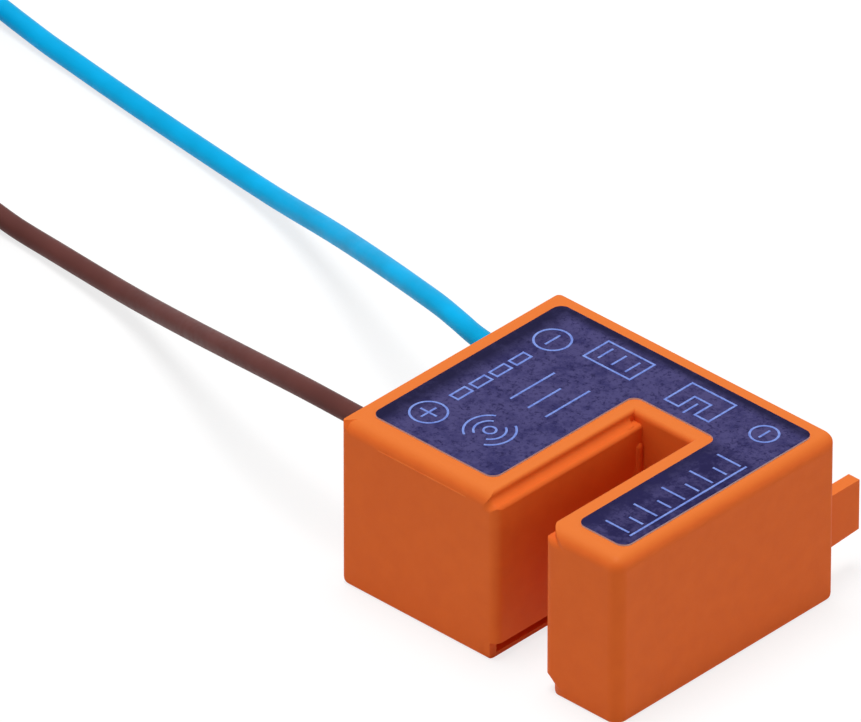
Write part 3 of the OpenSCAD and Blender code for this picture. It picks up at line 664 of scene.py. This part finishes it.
def lip_end(shape):
    """The end of the hollow between the wide arm's lip and its ledge: it fades out over the rounded mouth."""
    centre = (FRONT_Y + FACE_TOP_R, LEDGE_Z - FACE_TOP_R)
    rings = []
    for y, z in arc_places(centre, FACE_TOP_R, 90, LIP_END_STOP, CORNER_STEPS):
        inset = max(FRONT_Y + WIDE_MOUTH_R - y, 0)
        lip_x = WIDE_LIP_X - WIDE_MOUTH_R + math.sqrt(WIDE_MOUTH_R ** 2 - inset ** 2)
        radius = HOLLOW_R * (z - centre[1]) / FACE_TOP_R
        arc = arc_places((lip_x + radius, z + radius), radius, 270, 180, CORNER_STEPS)
        root_x = lip_x - OVERLAP
        root_z = z - OVERLAP
        root = [(root_x, z + radius), (root_x, root_z), (lip_x + radius, root_z)]
        rings.append([(x, y, height) for x, height in (*arc, *root)])
    loft(shape, rings)


def foot_post(shape):
    """What closes the groove under the wide arm's sensing face at the mouth."""
    back_x = WIDE_LIP_X - POST_DEPTH
    centre = (WIDE_FACE_X - FACE_EDGE_R, FRONT_Y + FACE_EDGE_R)
    arc = arc_places(centre, FACE_EDGE_R, -90, POST_STOP, CORNER_STEPS)
    plan = [(back_x, FRONT_Y), *arc, (arc[-1][0], centre[1]), (back_x, centre[1])]
    stack(shape, [(plan, FOOT_Z - OVERLAP), (plan, FACE_BASE_Z + OVERLAP)])


def narrow_chamfer(shape):
    """The slope from the narrow arm's sensing face down to its foot, round the corner at the mouth."""
    inner_x = NARROW_LIP_X + NARROW_MOUTH_R
    inner_y = FRONT_Y + NARROW_MOUTH_R

    def plan(plane_x, radius):
        arc = arc_places((plane_x + radius, FRONT_Y + radius), radius, 180, 270, CORNER_STEPS)
        return [(plane_x, inner_y), *arc, (inner_x, FRONT_Y), (inner_x, inner_y)]

    foot_plan = plan(NARROW_LIP_X, NARROW_MOUTH_R)
    face_plan = plan(NARROW_FACE_X, FACE_EDGE_R)
    stack(shape, [(foot_plan, CHAMFER_Z), (face_plan, FACE_BASE_Z + OVERLAP)])


# Printed marks

def stroke(shape, places, closed=False):
    """A printed line through these places on the film, as a ribbon with mitred bends."""
    points = [Vector(place) for place in places]
    count = len(points)
    low = FILM_TOP_Z
    high = FILM_TOP_Z + PRINT_T
    rings = []
    for index, point in enumerate(points):
        before = points[index - 1] if closed or index > 0 else point
        after = points[(index + 1) % count] if closed or index < count - 1 else point
        ways = [(b - a).normalized() for a, b in ((before, point), (point, after)) if b != a]
        sides = [Vector((-way.y, way.x)) for way in ways]
        mitre = sum(sides, Vector((0, 0))).normalized()
        mitre *= STROKE_W / 2 / mitre.dot(sides[0])
        left = point + mitre
        right = point - mitre
        rings.append([(*left, low), (*left, high), (*right, high), (*right, low)])
    loft(shape, rings, closed)


def ring_mark(shape, centre, radius):
    stroke(shape, arc_places(centre, radius, 0, 360, RING_STEPS)[:-1], closed=True)


def box_mark(shape, low, high):
    stroke(shape, [low, (high[0], low[1]), high, (low[0], high[1])], closed=True)


def pole_marks(shape):
    """A ringed plus and a ringed minus beside the wires."""
    gap = STROKE_W / 2
    for y in (-POLE_Y, POLE_Y):
        stroke(shape, [(POLE_X, y - POLE_REACH), (POLE_X, y + POLE_REACH)])
        ring_mark(shape, (POLE_X, y), POLE_R)
    stroke(shape, [(POLE_X - POLE_REACH, -POLE_Y), (POLE_X - gap, -POLE_Y)])
    stroke(shape, [(POLE_X + gap, -POLE_Y), (POLE_X + POLE_REACH, -POLE_Y)])


def cell_marks(shape):
    """A row of small boxes between the poles."""
    for index in range(CELL_COUNT):
        low_y = CELL_START_Y + CELL_PITCH * index
        box_mark(shape, (POLE_X - CELL_W / 2, low_y), (POLE_X + CELL_W / 2, low_y + CELL_L))


def coil_mark(shape):
    """The coil's axis with its field on both sides."""
    ring_mark(shape, COIL_MARK, COIL_MARK_R)
    for radius in FIELD_RADII:
        for middle in (0, 180):
            start = middle - FIELD_ANGLE
            stop = middle + FIELD_ANGLE
            stroke(shape, arc_places(COIL_MARK, radius, start, stop, FIELD_STEPS))


def bar_marks(shape):
    """Three bars of unequal length."""
    for index, length in enumerate(BAR_MARK_LENGTHS):
        x = BAR_MARK_START[0] + BAR_MARK_PITCH * index
        y = BAR_MARK_START[1]
        stroke(shape, [(x, y), (x, y + length)])


def block_mark(shape):
    """A box with lines inside."""
    box_mark(shape, BLOCK_LOW, BLOCK_HIGH)
    for x in BLOCK_LINES_X:
        stroke(shape, [(x, BLOCK_LOW[1] + BLOCK_INSET), (x, BLOCK_HIGH[1] - BLOCK_INSET)])


def fork_mark(shape):
    """A fork with a flag in its slot."""
    (low_x, low_y), (high_x, high_y) = FORK_LOW, FORK_HIGH
    slot_low_x = low_x + FORK_ARM_W
    slot_high_x = high_x - FORK_ARM_W
    stroke(shape, [FORK_LOW, (low_x, high_y), FORK_HIGH, (high_x, low_y), (slot_high_x, low_y),
                   (slot_high_x, FORK_SLOT_Y), (slot_low_x, FORK_SLOT_Y), (slot_low_x, low_y)], closed=True)
    stroke(shape, [(FLAG_X, y) for y in FLAG_Y])


def scale_mark(shape):
    """A depth scale along the narrow arm."""
    for index in range(SCALE_COUNT):
        y = SCALE_START_Y + SCALE_PITCH * index
        reach = SCALE_LONG if index % 2 == 0 else SCALE_SHORT
        stroke(shape, [(SCALE_X - reach, y), (SCALE_X, y)])
    stroke(shape, [(SCALE_LINE_X, SCALE_START_Y - SCALE_OVERHANG),
                   (SCALE_LINE_X, SCALE_START_Y + SCALE_PITCH * (SCALE_COUNT - 1) + SCALE_OVERHANG)])


def dial_mark(shape):
    """A ring with a bar in it."""
    x, y = DIAL_CENTRE
    ring_mark(shape, DIAL_CENTRE, DIAL_R)
    stroke(shape, [(x, y - DIAL_REACH), (x, y + DIAL_REACH)])


def film_marks(shape):
    """All the plain signs on the film."""
    for mark in (pole_marks, cell_marks, coil_mark, bar_marks, block_mark, fork_mark, scale_mark, dial_mark):
        mark(shape)


# Floor and light

def seen_directly(tree):
    """1 for rays from the camera and for those that reflections and clear pieces send on, otherwise 0."""
    path = add_node(tree, "ShaderNodeLightPath")
    mirrored = combine(tree, "MAXIMUM", path.outputs["Is Glossy Ray"], path.outputs["Is Transmission Ray"])
    return combine(tree, "MAXIMUM", path.outputs["Is Camera Ray"], mirrored)


def make_floor():
    bpy.ops.mesh.primitive_plane_add(size=FLOOR_SIZE)
    floor = bpy.context.object
    floor.name = "floor"
    material, tree, shader = new_material("pale_floor")
    seen = seen_directly(tree)
    tree.links.new(map_range(tree, seen, 0, 1, FLOOR_SHADE, FLOOR_SEEN_SHADE), shader.inputs["Base Color"])
    tree.links.new(map_range(tree, seen, 0, 1, 0, FLOOR_GLOW), shader.inputs["Emission Strength"])
    shader.inputs["Emission Color"].default_value = (1, 1, 1, 1)
    shader.inputs["Roughness"].default_value = FLOOR_ROUGHNESS
    shader.inputs["Specular IOR Level"].default_value = 0.0
    floor.data.materials.append(material)


def make_light():
    world = bpy.data.worlds.new("studio")
    scene.world = world
    world.use_nodes = True
    tree = world.node_tree
    sky = next(n for n in tree.nodes if n.type == "BACKGROUND")
    sky.inputs["Color"].default_value = (1, 1, 1, 1)
    tree.links.new(map_range(tree, seen_directly(tree), 0, 1, SKY, SKY_SEEN), sky.inputs["Strength"])
    for name, power, size, place in LIGHTS:
        data = bpy.data.lights.new(name, "AREA")
        data.energy = power
        data.shape = "DISK"
        data.size = size
        lamp = bpy.data.objects.new(name, data)
        scene.collection.objects.link(lamp)
        lamp.location = place
        lamp.rotation_euler = (-lamp.location).to_track_quat("-Z", "Y").to_euler()


make_camera()
blue_material = wire_material("blue_insulation", BLUE)
brown_material = wire_material("brown_insulation", BROWN)
make_wire("blue_cord", BLUE_EXIT, BLUE_PLACES, BLUE_CENTRE, BLUE_TURNS, blue_material,
          ("blue_wire", "blue_wire_coil"))
make_wire("brown_cord", BROWN_EXIT, BROWN_PLACES, BROWN_CENTRE, BROWN_TURNS, brown_material,
          ("brown_wire", "brown_wire_coil"))

orange_material = housing_material()
# The moulding line is coloured with the paler sheen orange, a painted highlight along its ridge
ridge_highlight_material = plastic("orange_ridge_painted_highlight", ORANGE_PAINTED_SHEEN, ORANGE, RIDGE_ROUGHNESS, HOUSING_GRAIN,
                         gloss=HOUSING_GLOSS)
dress(orange_material, "housing")
add_piece("slot_bar", slot_bar, orange_material)
add_piece("lip_end", lip_end, orange_material)
add_piece("foot_post", foot_post, orange_material)
add_piece("narrow_chamfer", narrow_chamfer, orange_material)
add_piece("moulding_line", moulding_line, ridge_highlight_material)
dress(film_material(), "label_film")
add_piece("film_marks", film_marks, print_material())
dress(blue_material, "blue_sleeve")
dress(brown_material, "brown_sleeve")
dress(metal("tinned_copper", TIN, roughness=0.35, grain=6.0),
      "blue_conductor", "brown_conductor", "solder_joints")
dress(metal("tinned_strands", STRANDS, roughness=0.42, grain=6.0, twisted=True), "blue_tip", "brown_tip")
dress(metal("enamelled_copper", COPPER, roughness=0.3, grain=8.0),
      "wide_winding", "narrow_winding", "wide_coil_leads", "narrow_coil_leads")
for name, colour, deep, roughness, grain, names in PLAIN_MATERIALS:
    dress(plastic(name, colour, deep, roughness, grain), *names)

make_floor()
make_light()
scene.view_settings.view_transform = "Standard"
